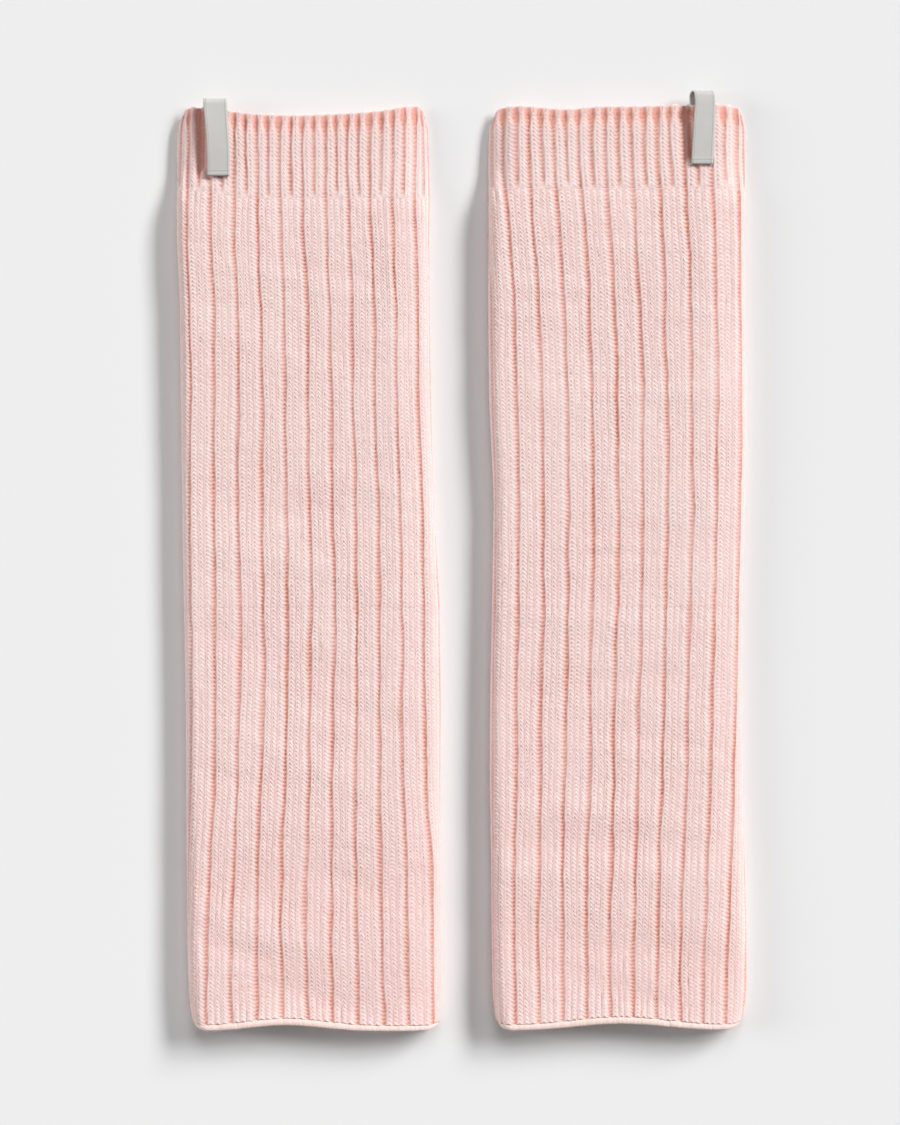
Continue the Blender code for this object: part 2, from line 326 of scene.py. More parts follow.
def rows_at(rows, heights):
    """The rows' values at these heights.

    Each is the mean of a few straight-line readings close by, which rounds off the outline.
    """
    known = [row.height for row in rows]
    room = np.minimum(heights - known[0], known[-1] - heights)
    reach = OUTLINE_ROUNDING * np.clip(room / END_ROOM, 0, 1)
    nearby = heights + reach * READINGS[:, None]
    values = [np.interp(nearby, known, column).mean(axis=0) for column in zip(*rows)]
    return type(rows[0])(*(value[:, None] for value in values))


def end_shift(warmer, heights, x, turn):
    """How far the hem's arch and the mouth's hang move the knit along Y.

    The arch is a bell across the warmer that fades with the square of the distance from the hem.
    The hang is read off its table: at the edge both layers drop, the lower a little more, and this
    goes over to the foot's column at the start of the cuff, which fades out down the leg. Corners
    draw back where the cloth turns.
    """
    above = np.maximum(0, heights - LEG_FOOT)
    below = np.maximum(0, warmer.mouth - heights)
    arch = warmer.hem_curve
    bell = np.exp(-(((x - arch.centre) / arch.half_width) ** 2))
    known, edge, foot = zip(*warmer.hang)
    nearby = x + MOUTH_ROUNDING * READINGS.reshape(-1, 1, 1)
    edge, foot = (np.interp(nearby, known, v).mean(axis=0) for v in (edge, foot))
    layer = (1 + np.cos(turn)) / 2
    edge = edge + LOWER_EDGE_DROP * (1 - layer)
    cuff_height = warmer.mouth - CUFF_START
    into_cuff = np.clip(1 - below / cuff_height, 0, 1)
    down_leg = np.clip(1 - (below - cuff_height) / CUFF_PULL_FADE, 0, 1) ** 2
    hang = foot * layer * down_leg + (edge - foot * layer) * into_cuff
    hem_corner = arch.corner * np.clip(1 - above / CORNER_FADE, 0, 1) ** 2
    mouth_corner = warmer.mouth_corner * np.clip(1 - below / CORNER_FADE, 0, 1) ** 2
    rise = arch.reach * bell * np.clip(1 - above / HEM_FADE, 0, 1) ** 2
    return rise - hang + (hem_corner - mouth_corner) * np.sin(turn) ** 2


def crease_depth(warmer, x, heights):
    """How deep the creases press the upper layer.

    Each is a bell of the distance from its line, which also fades past the line's two ends.
    """
    depth = np.zeros(np.broadcast(x, heights).shape)
    for crease in warmer.creases:
        along = np.array((crease.x1 - crease.x0, crease.height1 - crease.height0), float)
        length = np.hypot(*along)
        along /= length
        run = (x - crease.x0) * along[0] + (heights - crease.height0) * along[1]
        off = (x - crease.x0) * along[1] - (heights - crease.height0) * along[0]
        past = np.maximum(0, np.abs(run - length / 2) - length / 2)
        faded = past / (CREASE_END * crease.width)
        depth += crease.depth * np.exp(-((off / crease.width) ** 2) - faded**2)
    return depth


def origin(warmer):
    """Where a warmer's own x and height start from in the frame, in metres."""
    tube_low, tube_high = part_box(f"{warmer.name}_tube")
    hem_low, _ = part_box(f"{warmer.name}_hem")
    return (tube_low.x + tube_high.x) / 2, hem_low.y


def tube_points(warmer, heights, places, inset, lift):
    """Points of the flattened tube, in metres: one ring of places for each height.

    cloth is the distance along the cloth from the middle of the upper face, read between the
    grooves that the rows give. Between the first and the last groove it bows by the rows' lean, as
    a parabola does, and wanders. The face is flat as far as the side folds and then turns through
    half a circle of radius thick / 2, down to the flat underside. inset goes in from the crowns,
    and lift moves a point along Y. The upper layer flares with the square of its nearness to the
    hem, and the creases press it down. Smooth steps flatten the cuff's folds and the right side.
    """
    row = rows_at(warmer.rows, heights)
    heights = heights[:, None]
    radius = row.thick / 2
    middle = (row.left + row.right) / 2
    half_width = (row.right - row.left) / 2
    flat = half_width - radius
    fold_end = flat + np.pi * radius
    knots = (-SIDE_BANDS, 0, TOP_BANDS, TOP_BANDS + SIDE_BANDS, ROUND_BANDS - SIDE_BANDS)
    along = (-fold_end, row.first - middle, row.last - middle, fold_end, fold_end + 2 * flat)
    shares = (np.interp(places, knots, one) for one in np.eye(len(knots)))
    cloth = sum(share * distance for share, distance in zip(shares, along))
    across = np.clip(places / TOP_BANDS, 0, 1)
    bow = 4 * across * (1 - across)
    wander = sum(wave.reach * np.sin(heights / wave.length + wave.shift * places) for wave in WANDER)
    cloth = cloth + row.lean * bow + wander * np.clip(WANDER_RISE * bow, 0, 1)
    turn = np.sign(cloth) * np.clip((np.abs(cloth) - flat) / radius, 0, np.pi)
    spine = np.where(cloth > fold_end, flat - (cloth - fold_end), np.clip(cloth, -flat, flat))
    upper = (1 + np.cos(turn)) / 2
    x = middle + spine + (radius - inset) * np.sin(turn)
    flare = FLARE_LIFT * np.clip(1 - heights / FLARE_FADE, 0, 1) ** 2
    raised = flare - crease_depth(warmer, x, heights)
    z = radius + (radius - inset) * np.cos(turn) + upper * raised
    outer = ease(np.abs(x - middle) / half_width, PINCH_INNER, 1.0)
    z = z * (1 - PINCH * outer * ease(heights, PINCH_FOOT, PINCH_TOP))
    z = z * (1 - RIGHT_SLOPE * ease((x - middle) / half_width, RIGHT_INNER, 1.0))
    y = heights + lift + end_shift(warmer, heights, x, turn)
    centre_x, foot_y = origin(warmer)
    return np.stack((x * MM + centre_x, y * MM + foot_y, z * MM), axis=-1)


def pressed(warmer, points, heights):
    """How deep the creases press these points of the tube, and 0 on its underside."""
    x = (points[:, :, 0] - origin(warmer)[0]) / MM
    return crease_depth(warmer, x, heights[:, None]) * (points[:, :, 2] / MM > WALL)


def count_needles(ribs, wales):
    """The needle count at these places, given in ribs: whole at the wales' edges, even between."""
    needles = len(wales) - 1
    rib = np.floor(ribs - wales[0])
    edges = np.append(wales, wales[1] + 1)
    return needles * rib + np.interp(ribs - rib, edges, np.arange(needles + 2))


def band_columns(columns, wales, ribs_per_band, under_columns):
    """The columns of points all round: place, crown, gap, lift and needle count of each.

    The pattern repeats over the upper face and both side folds. The underside is plain, with a few
    columns. Needles are counted through the wales' edges, so that each wale is one unit wide.
    """
    first = -SIDE_BANDS
    last = TOP_BANDS + SIDE_BANDS
    ribs = (last - first) * ribs_per_band
    at, crown, gap, lift, _ = np.array(columns).T
    place = first + (np.arange(ribs)[:, None] + at).ravel() / ribs_per_band
    crown, gap, lift = (np.tile(v, ribs) for v in (crown, gap, lift))
    under = np.linspace(last, ROUND_BANDS - SIDE_BANDS, under_columns + 1)[:-1]
    place = np.concatenate((place, under))
    crown, gap, lift = (np.concatenate((v, np.zeros(under_columns))) for v in (crown, gap, lift))
    crown[0] = gap[0] = 0.0
    needle = count_needles(np.append(place, ROUND_BANDS - SIDE_BANDS) * ribs_per_band, wales)
    return place, crown, gap, lift, needle


def slow_noise(rng, rows, columns, reach):
    """Random numbers of spread 1 that change slowly down each column: sums over a sliding window."""
    sums = np.cumsum(rng.normal(size=(rows + reach, columns)), axis=0)
    return (sums[reach:] - sums[:-reach]) / np.sqrt(reach)


def stitches(rng, courses, crown, gap, lift):
    """Depth and lift of every point of a knitted face, and the course that it is counted at.

    A course has three rows of points: the gap under it, then two on the yarn's crown. Each stitch
    is a little uneven, and a wale leans slowly one way and the other as its yarn twists.
    """
    row = np.arange(COURSE_ROWS * courses)
    course = row // COURSE_ROWS + np.array(ROW_PHASES)[row % COURSE_ROWS]
    on_crown = (row % COURSE_ROWS > 0)[:, None]
    relief = (gap > 0).astype(float)
    uneven = np.repeat(rng.normal(size=(courses, len(crown))), COURSE_ROWS, axis=0)
    depth = np.where(on_crown, crown, gap) + STITCH_UNEVENNESS * uneven * relief
    slant = WALE_TWIST * slow_noise(rng, courses, len(crown), TWIST_COURSES)
    slant += STITCH_LIFT * rng.normal(size=slant.shape)
    return np.maximum(depth, 0), lift + np.repeat(slant, COURSE_ROWS, axis=0) * relief, course


def wale_drift(rng, course, place, needle):
    """How far each wale strays sideways, in bands.

    It is slow noise for each, read in a straight line between two courses and between two wales.
    """
    wales = np.arange(np.ceil(needle[0]), np.floor(needle[-1]))
    blend = np.array([np.interp(needle[:-1], wales, one) for one in np.eye(len(wales))])
    noise = slow_noise(rng, int(course[-1]) + 2, len(wales), TWIST_COURSES)
    row = np.clip(course, 0, len(noise) - 1)
    low = row.astype(int)
    share = (row - low)[:, None]
    drift = noise[low] * (1 - share) + noise[low + 1] * share
    upper = (place > -SIDE_BANDS) & (place < TOP_BANDS + SIDE_BANDS)
    return WALE_DRIFT * (drift @ blend) * upper


def groove_strength(rng, courses, place, ribs_per_band):
    """How deep each groove is, about 1, at every row of points: 1 and slow noise along the groove."""
    groove = np.round((place + SIDE_BANDS) * ribs_per_band).astype(int)
    noise = slow_noise(rng, courses, groove.max() + 1, RIB_COURSES)
    return np.repeat(1 + RIB_UNEVENNESS * noise[:, groove], COURSE_ROWS, axis=0)


def fill_wall(name, points, needle, course, caps, painted_shade=0.0):
    """A closed knitted wall from rings of points, each joined to the next and the last to the first.

    Its UV map counts needles across and courses up, and painted_shade is how much pinker and darker a
    point is painted than its place in the stitch makes it, as painted shade. The rings of faces
    numbered in caps, where the outside turns over to the inside, are flat, so that they don't tilt the
    shading beside them.
    """
    rings, columns = points.shape[:2]
    ring, column = np.meshgrid(np.arange(rings), np.arange(columns), indexing="ij")
    next_ring = (ring + 1) % rings
    next_column = (column + 1) % columns
    corners = np.stack(
        (
            ring * columns + column,
            ring * columns + next_column,
            next_ring * columns + next_column,
            next_ring * columns + column,
        ),
        axis=-1,
    ).reshape(-1, 4)
    needle = np.broadcast_to(needle, (rings, columns + 1))
    across = np.stack((needle[:, :-1], needle[:, 1:], needle[:, 1:], needle[:, :-1]), axis=-1)
    up = np.stack((course, course, np.roll(course, -1), np.roll(course, -1)), axis=-1)
    uv = np.stack(np.broadcast_arrays(across, up[:, None, :]), axis=-1)
    mesh = bpy.data.meshes.new(name)
    mesh.vertices.add(rings * columns)
    mesh.vertices.foreach_set("co", points.ravel())
    mesh.loops.add(corners.size)
    mesh.loops.foreach_set("vertex_index", corners.ravel())
    mesh.polygons.add(len(corners))
    mesh.polygons.foreach_set("loop_start", np.arange(len(corners)) * 4)
    mesh.update(calc_edges=True)
    smooth = ~np.isin(np.repeat(np.arange(rings), columns), caps)
    mesh.polygons.foreach_set("use_smooth", smooth)
    mesh.uv_layers.new(name="stitches").data.foreach_set("uv", uv.ravel())
    extra = mesh.attributes.new("painted_shade", "FLOAT", "POINT")
    extra.data.foreach_set("value", np.broadcast_to(painted_shade, (rings, columns)).ravel())
    piece = bpy.data.objects.new(name, mesh)
    bpy.context.scene.collection.objects.link(piece)
    return piece


# The yarn's colours from its crowns to the bottom of the grooves, and where each stands from 0 to
# 1: the first is the yarn's own, and the others are painted shade, darker and pinker, for the
# hollows. DEPTH_PAINTED_SHADE is how far along them a depth of DEEPEST goes, and COURSE_ROUNDNESS
# the power that rounds a course off towards its gaps. Each stitch has a tone of its own, and a
# cloudy one runs over them all. The bump is the fuzz and the plies, which turn PLY_TURNS times up a
# stitch.
LEG_PINKS = ((0.845, 0.71, 0.69), (0.81, 0.583, 0.555), (0.76, 0.42, 0.365), (0.68, 0.30, 0.24))
PINK_STOPS = (0.03, 0.20, 0.85, 1.0)
DEPTH_PAINTED_SHADE = 1.85
DEEPEST = 1.6
COURSE_ROUNDNESS = 1.8
STITCH_TONE = 0.07
CLOUDY_TONE = 0.08
CLOUDY_SCALE = 45.0
FUZZ_SCALE = 1400.0
FUZZ_BUMP = 0.15
PLY_TURNS = 2.0
PLY_SLANT = 3.0
PLY_BUMP = 0.03


def crown_painted_shade(columns, ribs):
    """The painted shade on the yarn's crowns at these places, given in ribs: how pink tone and depth make
    them.
    """
    at, crown, _, _, tone = np.array(columns).T
    return np.interp(ribs % 1, at, tone + DEPTH_PAINTED_SHADE * crown / DEEPEST, period=1)


class Finish:
    """A new material, and short ways to add to its nodes."""

    def __init__(self, name):
        self.material = bpy.data.materials.new(name)
        self.material.use_nodes = True
        self.tree = self.material.node_tree
        self.shader = self.tree.nodes["Principled BSDF"]

    def feed(self, node, inputs):
        """Sets a node's inputs, each to a value of its own or to what another node gives."""
        for socket, term in inputs.items():
            if isinstance(term, bpy.types.NodeSocket):
                self.tree.links.new(term, node.inputs[socket])
            else:
                node.inputs[socket].default_value = term

    def node(self, kind, inputs, **settings):
        """A new node with these settings and inputs."""
        made = self.tree.nodes.new(kind)
        for key, value in settings.items():
            setattr(made, key, value)
        self.feed(made, inputs)
        return made

    def maths(self, operation, *terms):
        """What a math node gives for these terms."""
        return self.node("ShaderNodeMath", dict(enumerate(terms)), operation=operation).outputs[0]

    def map_parts(self, name):
        """The two numbers of a UV map."""
        uv = self.node("ShaderNodeUVMap", {}, uv_map=name).outputs[0]
        return self.node("ShaderNodeSeparateXYZ", {0: uv}).outputs[:2]

    def ramp(self, factor, points):
        """What a colour ramp gives for a factor, from pairs of a position and a colour."""
        made = self.node("ShaderNodeValToRGB", {0: factor})
        stops = made.color_ramp.elements
        while len(stops) < len(points):
            stops.new(0.5)
        for stop, (position, colour) in zip(stops, points):
            stop.position = position
            stop.color = (*colour, 1.0)
        return made.outputs[0]

    def bump(self, height, strength, distance):
        """The surface's direction, bent by a height."""
        inputs = {"Height": height, "Strength": strength, "Distance": distance}
        return self.node("ShaderNodeBump", inputs).outputs[0]


def knit_finish(name, columns, wales, pinks):
    """Soft matt yarn, with painted shade: darker and pinker the deeper it lies between the stitches.

    The map gives needles across and courses up. Three ramps across the rib hold the column table's
    own numbers: the depth of the yarn's crown and of the gap between courses, which a power of the
    distance from the middle of the course mixes, and the tone, a painted shade. Tone, depth, mottle
    and the points' own painted shade add up to pick the colour, so that depth is painted as shade
    too. The depth drives a fine bump too, to which the yarn's plies, slanted lines across each leg of
    a stitch, and a fuzz are added.
    """
    yarn = Finish(name)
    maths = yarn.maths
    at, crowns, gaps, _, tones = np.array(columns).T
    needles = len(wales) - 1
    edges = np.append(wales, wales[1] + 1)
    place = np.interp(at, edges, np.arange(needles + 2)) / needles % 1
    across, up = yarn.map_parts("stitches")
    rib = maths("FRACT", maths("DIVIDE", across, needles))

    def across_rib(values):
        points = sorted(zip(place, values))
        (first, first_value), (last, last_value) = points[0], points[-1]
        joint = np.interp(1.0, (last, first + 1), (last_value, first_value))
        points = [(0.0, joint), *points, (1.0, joint)]
        return yarn.ramp(rib, [(position, (value,) * 3) for position, value in points])

    def mottle(noise, tone):
        return maths("MULTIPLY", maths("SUBTRACT", noise, 0.5), tone)

    crown = across_rib(crowns / DEEPEST)
    gap = across_rib(gaps / DEEPEST)
    tone = across_rib(tones)
    course = maths("FRACT", up)
    from_middle = maths("ABSOLUTE", maths("SUBTRACT", maths("MULTIPLY", course, 2.0), 1.0))
    between = maths("POWER", from_middle, COURSE_ROUNDNESS)
    # A mix node of plain numbers: its factor is input 0, and its two terms are 2 and 3.
    depth = yarn.node("ShaderNodeMix", {0: between, 2: crown, 3: gap}, data_type="FLOAT").outputs[0]

    in_space = yarn.node("ShaderNodeTexCoord", {}).outputs["Object"]
    cloudy, fuzz = (
        yarn.node("ShaderNodeTexNoise", {"Scale": scale, "Detail": detail, "Vector": in_space}).outputs[0]
        for scale, detail in ((CLOUDY_SCALE, 2.0), (FUZZ_SCALE, 3.0))
    )
    cell = yarn.node("ShaderNodeCombineXYZ", {0: maths("FLOOR", across), 1: maths("FLOOR", up)})
    own_tone = yarn.node("ShaderNodeTexWhiteNoise", {"Vector": cell.outputs[0]}).outputs[0]
    uneven = maths("ADD", mottle(cloudy, CLOUDY_TONE), mottle(own_tone, STITCH_TONE))
    # Painted shade: the points' own, with the column's tone and the depth, picks a darker, pinker colour.
    painted_shade = yarn.node("ShaderNodeAttribute", {}, attribute_name="painted_shade").outputs["Fac"]
    toned = maths("ADD", tone, maths("MULTIPLY", depth, DEPTH_PAINTED_SHADE))
    shaded = maths("ADD", maths("ADD", toned, uneven), painted_shade)

    slant = maths("MULTIPLY", across, PLY_SLANT)
    ply_phase = maths("ADD", maths("MULTIPLY", course, PLY_TURNS), slant)
    ply = maths("SINE", maths("MULTIPLY", ply_phase, 2 * np.pi))
    fibres = maths("ADD", maths("MULTIPLY", ply, PLY_BUMP), maths("MULTIPLY", fuzz, FUZZ_BUMP))
    height = maths("ADD", maths("MULTIPLY", depth, -1.0), fibres)
    yarn.feed(
        yarn.shader,
        {
            "Base Color": yarn.ramp(shaded, list(zip(PINK_STOPS, pinks))),
            "Normal": yarn.bump(height, strength=0.4, distance=0.0003),
            "Roughness": 0.85,
            "Specular IOR Level": 0.2,
            "Sheen Weight": 0.35,
            "Sheen Roughness": 0.5,
            "Sheen Tint": (1.0, 0.93, 0.91, 1.0),
        },
    )
    return yarn.material


leg_yarn = knit_finish("leg yarn", LEG_COLUMNS, LEG_WALES, LEG_PINKS)

# The row of points that a leg ends on, from which its cuff goes on. Its lift is in millimetres.
TopRow = namedtuple("TopRow", "height place depth lift")


def make_leg(warmer, rng):
    """Both pieces of one leg, cut along the middle of a course, where the knit is flattest.

    A row of points is put in at the cut, the mean of the rows on either side. The top ends along
    the middle of a course too, and its last row is given to the cuff. Each piece is its outside
    going up and its plain inside going down.
    """
    place, crown, gap, lift, needle = band_columns(LEG_COLUMNS, LEG_WALES, 1, UNDERSIDE_COLUMNS)
    depth, wobble, course = stitches(rng, LEG_COURSES, crown, gap, lift)
    strength = groove_strength(rng, LEG_COURSES, place, 1)
    from_ends = np.minimum(course, LEG_COURSES - JOINT_COURSE - course)
    slanted = wobble * np.clip(from_ends / SLANT_FADE, 0, 1)[:, None]
    rows = np.concatenate((course[:, None], depth * strength, slanted, strength), axis=1)
    middle = COURSE_ROWS * (LOWER_COURSES + 1) - 1
    rows = np.insert(rows, middle, (rows[middle - 1] + rows[middle]) / 2, axis=0)
    rows[-1] = (rows[-2] + rows[-1]) / 2
    course, depth, wobble, strength = np.split(rows, 1 + len(place) * np.arange(3), axis=1)
    course = course[:, 0]
    course_height = (CUFF_START - LEG_FOOT) / LEG_COURSES
    inward = np.clip(np.minimum(course, course[-1] - course) / DRIFT_FADE, 0, 1)[:, None]
    strayed = place + wale_drift(rng, course, place, needle) * inward
    heights = LEG_FOOT + course * course_height
    outside = tube_points(warmer, heights, strayed, depth, wobble * course_height)
    # Painted shade: in the creases' troughs, light on their ridges, in the deeper grooves, towards the
    # foot and along the joint with the cuff.
    painted_shade = CREASE_PAINTED_SHADE * pressed(warmer, outside, heights)
    painted_shade += (strength - 1) * crown_painted_shade(LEG_COLUMNS, place) * (gap > 0)
    painted_shade += FOOT_PAINTED_SHADE * np.clip(1 - heights / FOOT_PAINTED_SHADE_TOP, 0, 1)[:, None]
    painted_shade[-1] += JOINT_PAINTED_SHADE
    pieces = []
    for part, face in (("lower", slice(0, middle + 1)), ("upper", slice(middle, len(course)))):
        first, last = course[face][0], course[face][-1]
        inner_course = np.linspace(last, first, int((last - first) * course_height / INSIDE_STEP))
        inside = tube_points(warmer, LEG_FOOT + inner_course * course_height, place, WALL, 0.0)
        rings = np.concatenate((outside[face], inside))
        piece = fill_wall(
            f"{warmer.name}_leg_{part}",
            rings,
            needle,
            np.concatenate((course[face], inner_course)),
            (len(outside[face]) - 1, len(rings) - 1),
            np.concatenate((painted_shade[face], np.zeros(inside.shape[:2]))),
        )
        piece.data.materials.append(leg_yarn)
        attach(piece, "root")
        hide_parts(f"{warmer.name}_tube")
        pieces.append(piece)
    top_height = LEG_FOOT + course[-1] * course_height
    return pieces, TopRow(top_height, place, depth[-1], wobble[-1] * course_height)


legs = {}
leg_tops = {}
for seed, warmer in enumerate(WARMERS, 11):
    legs[warmer.name], leg_tops[warmer.name] = make_leg(warmer, np.random.default_rng(seed))

# ---------------------------------------------------------------------------------------------
# The cuffs: a 1x1 rib of 48 narrow ribs, knitted on in one with each leg, 19 courses to the mouth.
# A welt of tighter courses draws the ribs in just below the edge, which is scalloped rib by rib.
# ---------------------------------------------------------------------------------------------
# Its wales drift less than the leg's, and its first ring lies TUCKED below and behind the joint.
CUFF_RIBS_IN_BAND = 2
CUFF_COURSES = 19
CUFF_DRIFT = 0.9
UNDER_RIB_COLUMNS = 3
INSIDE_RINGS = 8
TUCKED = 0.3

# The rounded rim: it starts RIM_HEIGHT below the mouth, where the grooves have filled up by
# RIM_FILL, and stands up over each rib by the scallop. GROOVE_MIDDLE is where in a rib the groove
# lies deepest, and GROOVE_EDGES are the cosines between which it falls off to the rib.
RIM_HEIGHT = 1.3
RIM_STEPS = 6
RIM_FILL = 0.35
RIM_FADE = 1.4
SCALLOP = 0.8
GROOVE_MIDDLE = 0.82
GROOVE_EDGES = (-0.9, 0.1)

# The welt: how far below the mouth it is drawn in most, how fast that fades above and below, and
# how much deeper it lies all round and in the grooves.
WELT_HEIGHT = 3.5
WELT_ABOVE = 1.9
WELT_BELOW = 3.3
WELT_DIP = 0.55
WELT_GROOVE = 0.4

# Grooves that end at the leg: over how many courses and how unevenly high, how deep they are there
# and how much of a groove's painted shade is gone.
GROOVE_END_COURSES = 1.6
GROOVE_END_SPREAD = 1.2
GROOVE_END_DEPTH = 0.08
GROOVE_END_PALE = 0.85

# Painted shade, as how much pinker and darker the yarn is made: all over the cuff, towards the
# mouth, in the furrow beside the label and the cuff's other creases, on the rim and in the welt, on
# their ribs and in their grooves.
CUFF_PAINTED_SHADE = 0.02
MOUTH_PAINTED_SHADE = 0.06
MOUTH_PAINTED_SHADE_FADE = 14.0
FURROW_PAINTED_SHADE = 0.30
RIM_PAINTED_SHADE = 0.05
RIM_GROOVE_PAINTED_SHADE = 0.46
WELT_PAINTED_SHADE = 0.12
WELT_GROOVE_PAINTED_SHADE = 0.60

# One rib across, in the columns that the leg's band has.
CUFF_COLUMNS = (
    Column(0.000, 0.28, 0.38, -0.45, 0.30),
    Column(0.050, 0.12, 0.18, -0.40, 0.18),
    Column(0.110, 0.02, 0.10, -0.10, 0.00),
    Column(0.215, 0.08, 0.22, 0.30, 0.00),
    Column(0.300, 0.16, 0.46, 0.52, 0.04),
    Column(0.400, 0.00, 0.18, 0.15, 0.00),
    Column(0.540, 0.06, 0.24, -0.30, 0.00),
    Column(0.660, 0.24, 0.50, -0.60, 0.04),
    Column(0.780, 0.38, 0.74, -0.64, 0.09),
    Column(0.900, 0.46, 0.76, -0.50, 0.22),
)
CUFF_WALES = (-0.29, 0.04, 0.71)
# The leg's yarn made darker all over: painted shade for the cuff's deeper ribs.
CUFF_SHADED_PINKS = ((0.80, 0.69, 0.675), (0.775, 0.58, 0.555), (0.735, 0.425, 0.375), (0.68, 0.32, 0.26))

cuff_yarn = knit_finish("cuff yarn", CUFF_COLUMNS, CUFF_WALES, CUFF_SHADED_PINKS)


def make_cuff(warmer, rng):
    """One cuff: its outside going up, the rounded rim, and its inside going down.

    Row 1 is the leg's own last row, and row 0 is a ring tucked in just below and behind it. Every
    second groove ends there: its depth goes up from almost none in a straight line. Near the mouth
    the grooves fill up towards the edge, and below that the welt draws them in deeper: both are
    bells of the distance from the edge. The rim turns through half a circle, and its height swells
    by the scallop over each rib.
    """
    under = UNDER_RIB_COLUMNS * (ROUND_BANDS - TOP_BANDS - 2 * SIDE_BANDS) * CUFF_RIBS_IN_BAND
    place, crown, gap, lift, needle = band_columns(CUFF_COLUMNS, CUFF_WALES, CUFF_RIBS_IN_BAND, under)
    rib = place * CUFF_RIBS_IN_BAND
    raised = gap > 0
    knitted, wobble, course = stitches(rng, CUFF_COURSES + 1, crown, gap, lift)
    strength = groove_strength(rng, CUFF_COURSES + 1, place, CUFF_RIBS_IN_BAND)
    # The first course is the leg's last one, and of the last only its first row of points is used.
    used = slice(1 - COURSE_ROWS)
    course, wobble, strength = course[used] - 1, wobble[used], strength[used]
    knitted = knitted[used] * strength
    course[:2] = -JOINT_COURSE
    from_joint = course[:, None] + JOINT_COURSE
    rim_foot = warmer.mouth - RIM_HEIGHT
    course_height = (rim_foot - CUFF_START) / CUFF_COURSES
    ends = rng.uniform(0, GROOVE_END_SPREAD, CUFF_RIBS_IN_BAND * ROUND_BANDS)
    from_start = (from_joint - ends[np.round(rib).astype(int)]) / GROOVE_END_COURSES
    from_start = np.clip(from_start, 0, 1)
    half_way = (np.abs(rib % 2 - 1) < 0.5) & raised
    shallow = np.minimum(knitted, GROOVE_END_DEPTH)
    depth = np.where(half_way, shallow + (knitted - shallow) * from_start, knitted)
    from_ends = np.minimum(from_joint, CUFF_COURSES - course[:, None])
    slanted = wobble * np.clip(from_ends / SLANT_FADE, 0, 1) * course_height
    heights = CUFF_START + course * course_height
    top_row = leg_tops[warmer.name]
    tucked = np.array((TUCKED, 0.0))
    heights[:2] = top_row.height - tucked
    depth[:2] = np.interp(place, top_row.place, top_row.depth) + tucked[:, None]
    slanted[:2] = np.interp(place, top_row.place, top_row.lift)
    drift = wale_drift(rng, course, place, needle) * np.clip(from_joint / DRIFT_FADE, 0, 1)
    strayed = place + CUFF_DRIFT * drift
    from_edge = warmer.mouth - heights[:, None]
    fade = np.where(from_edge < WELT_HEIGHT, WELT_ABOVE, WELT_BELOW)
    drawn = np.exp(-(((from_edge - WELT_HEIGHT) / fade) ** 2)) * raised
    closed = RIM_FILL * np.exp(-(((from_edge - RIM_HEIGHT) / RIM_FADE) ** 2))
    groove = ease(np.cos(2 * np.pi * (rib - GROOVE_MIDDLE)), *GROOVE_EDGES)
    depth = depth * (1 - closed) + drawn * (WELT_GROOVE * groove + WELT_DIP)
    outside = tube_points(warmer, heights, strayed, depth, slanted)

    turn = np.linspace(0, np.pi, RIM_STEPS + 2)[1:-1, None]
    rim_crown = crown * (1 - RIM_FILL)
    rim_inset = (rim_crown + WALL) / 2 - (WALL - rim_crown) / 2 * np.cos(turn)
    swell = RIM_HEIGHT + SCALLOP * (0.5 - groove)
    rim_heights = np.full(RIM_STEPS, rim_foot)
    rim = tube_points(warmer, rim_heights, strayed[-1], rim_inset, swell * np.sin(turn))
    inner_course = np.linspace(CUFF_COURSES, -JOINT_COURSE, INSIDE_RINGS)
    inside = tube_points(warmer, CUFF_START + inner_course * course_height, place, WALL, 0.0)
    rings = np.concatenate((outside, rim, inside))

    # Painted shade on the cuff's face and rim: in its grooves, creases and welt, towards the mouth and
    # along the joint.
    groove_painted_shade = crown_painted_shade(CUFF_COLUMNS, rib) * raised
    ended = GROOVE_END_PALE * (1 - from_start) * half_way
    painted_shade = np.zeros(rings.shape[:2])
    face, edge, _ = np.split(painted_shade, (len(outside), len(outside) + RIM_STEPS))
    face += FURROW_PAINTED_SHADE * pressed(warmer, outside, heights)
    face += drawn * (WELT_GROOVE_PAINTED_SHADE * groove + WELT_PAINTED_SHADE)
    face += CUFF_PAINTED_SHADE + MOUTH_PAINTED_SHADE * np.exp(-from_edge / MOUTH_PAINTED_SHADE_FADE) * raised
    face += groove_painted_shade * (strength - 1 - np.maximum(closed, ended))
    face[:2] += JOINT_PAINTED_SHADE
    edge += RIM_PAINTED_SHADE + RIM_GROOVE_PAINTED_SHADE * groove - RIM_FILL * groove_painted_shade
    piece = fill_wall(
        f"{warmer.name}_cuff_knit",
        rings,
        needle,
        np.concatenate((course, np.full(RIM_STEPS, CUFF_COURSES + 0.5), inner_course)),
        (0, len(rings) - 1),
        painted_shade,
    )
    piece.data.materials.append(cuff_yarn)
    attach(piece, "root")
    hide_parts(f"{warmer.name}_cuff")
    return piece


for seed, warmer in enumerate(WARMERS, 31):
    make_cuff(warmer, np.random.default_rng(seed))

# ---------------------------------------------------------------------------------------------
# The hems: a narrow tubular edge all round the foot of each leg, in a paler creamy yarn. It is
# wound close over the leg's first course, so fine threads run over it from front to back.
# ---------------------------------------------------------------------------------------------
HEM_TOP = 3.7
HEM_POINTS = 12
HEM_COLUMNS = 640
HEM_COURSES = 5

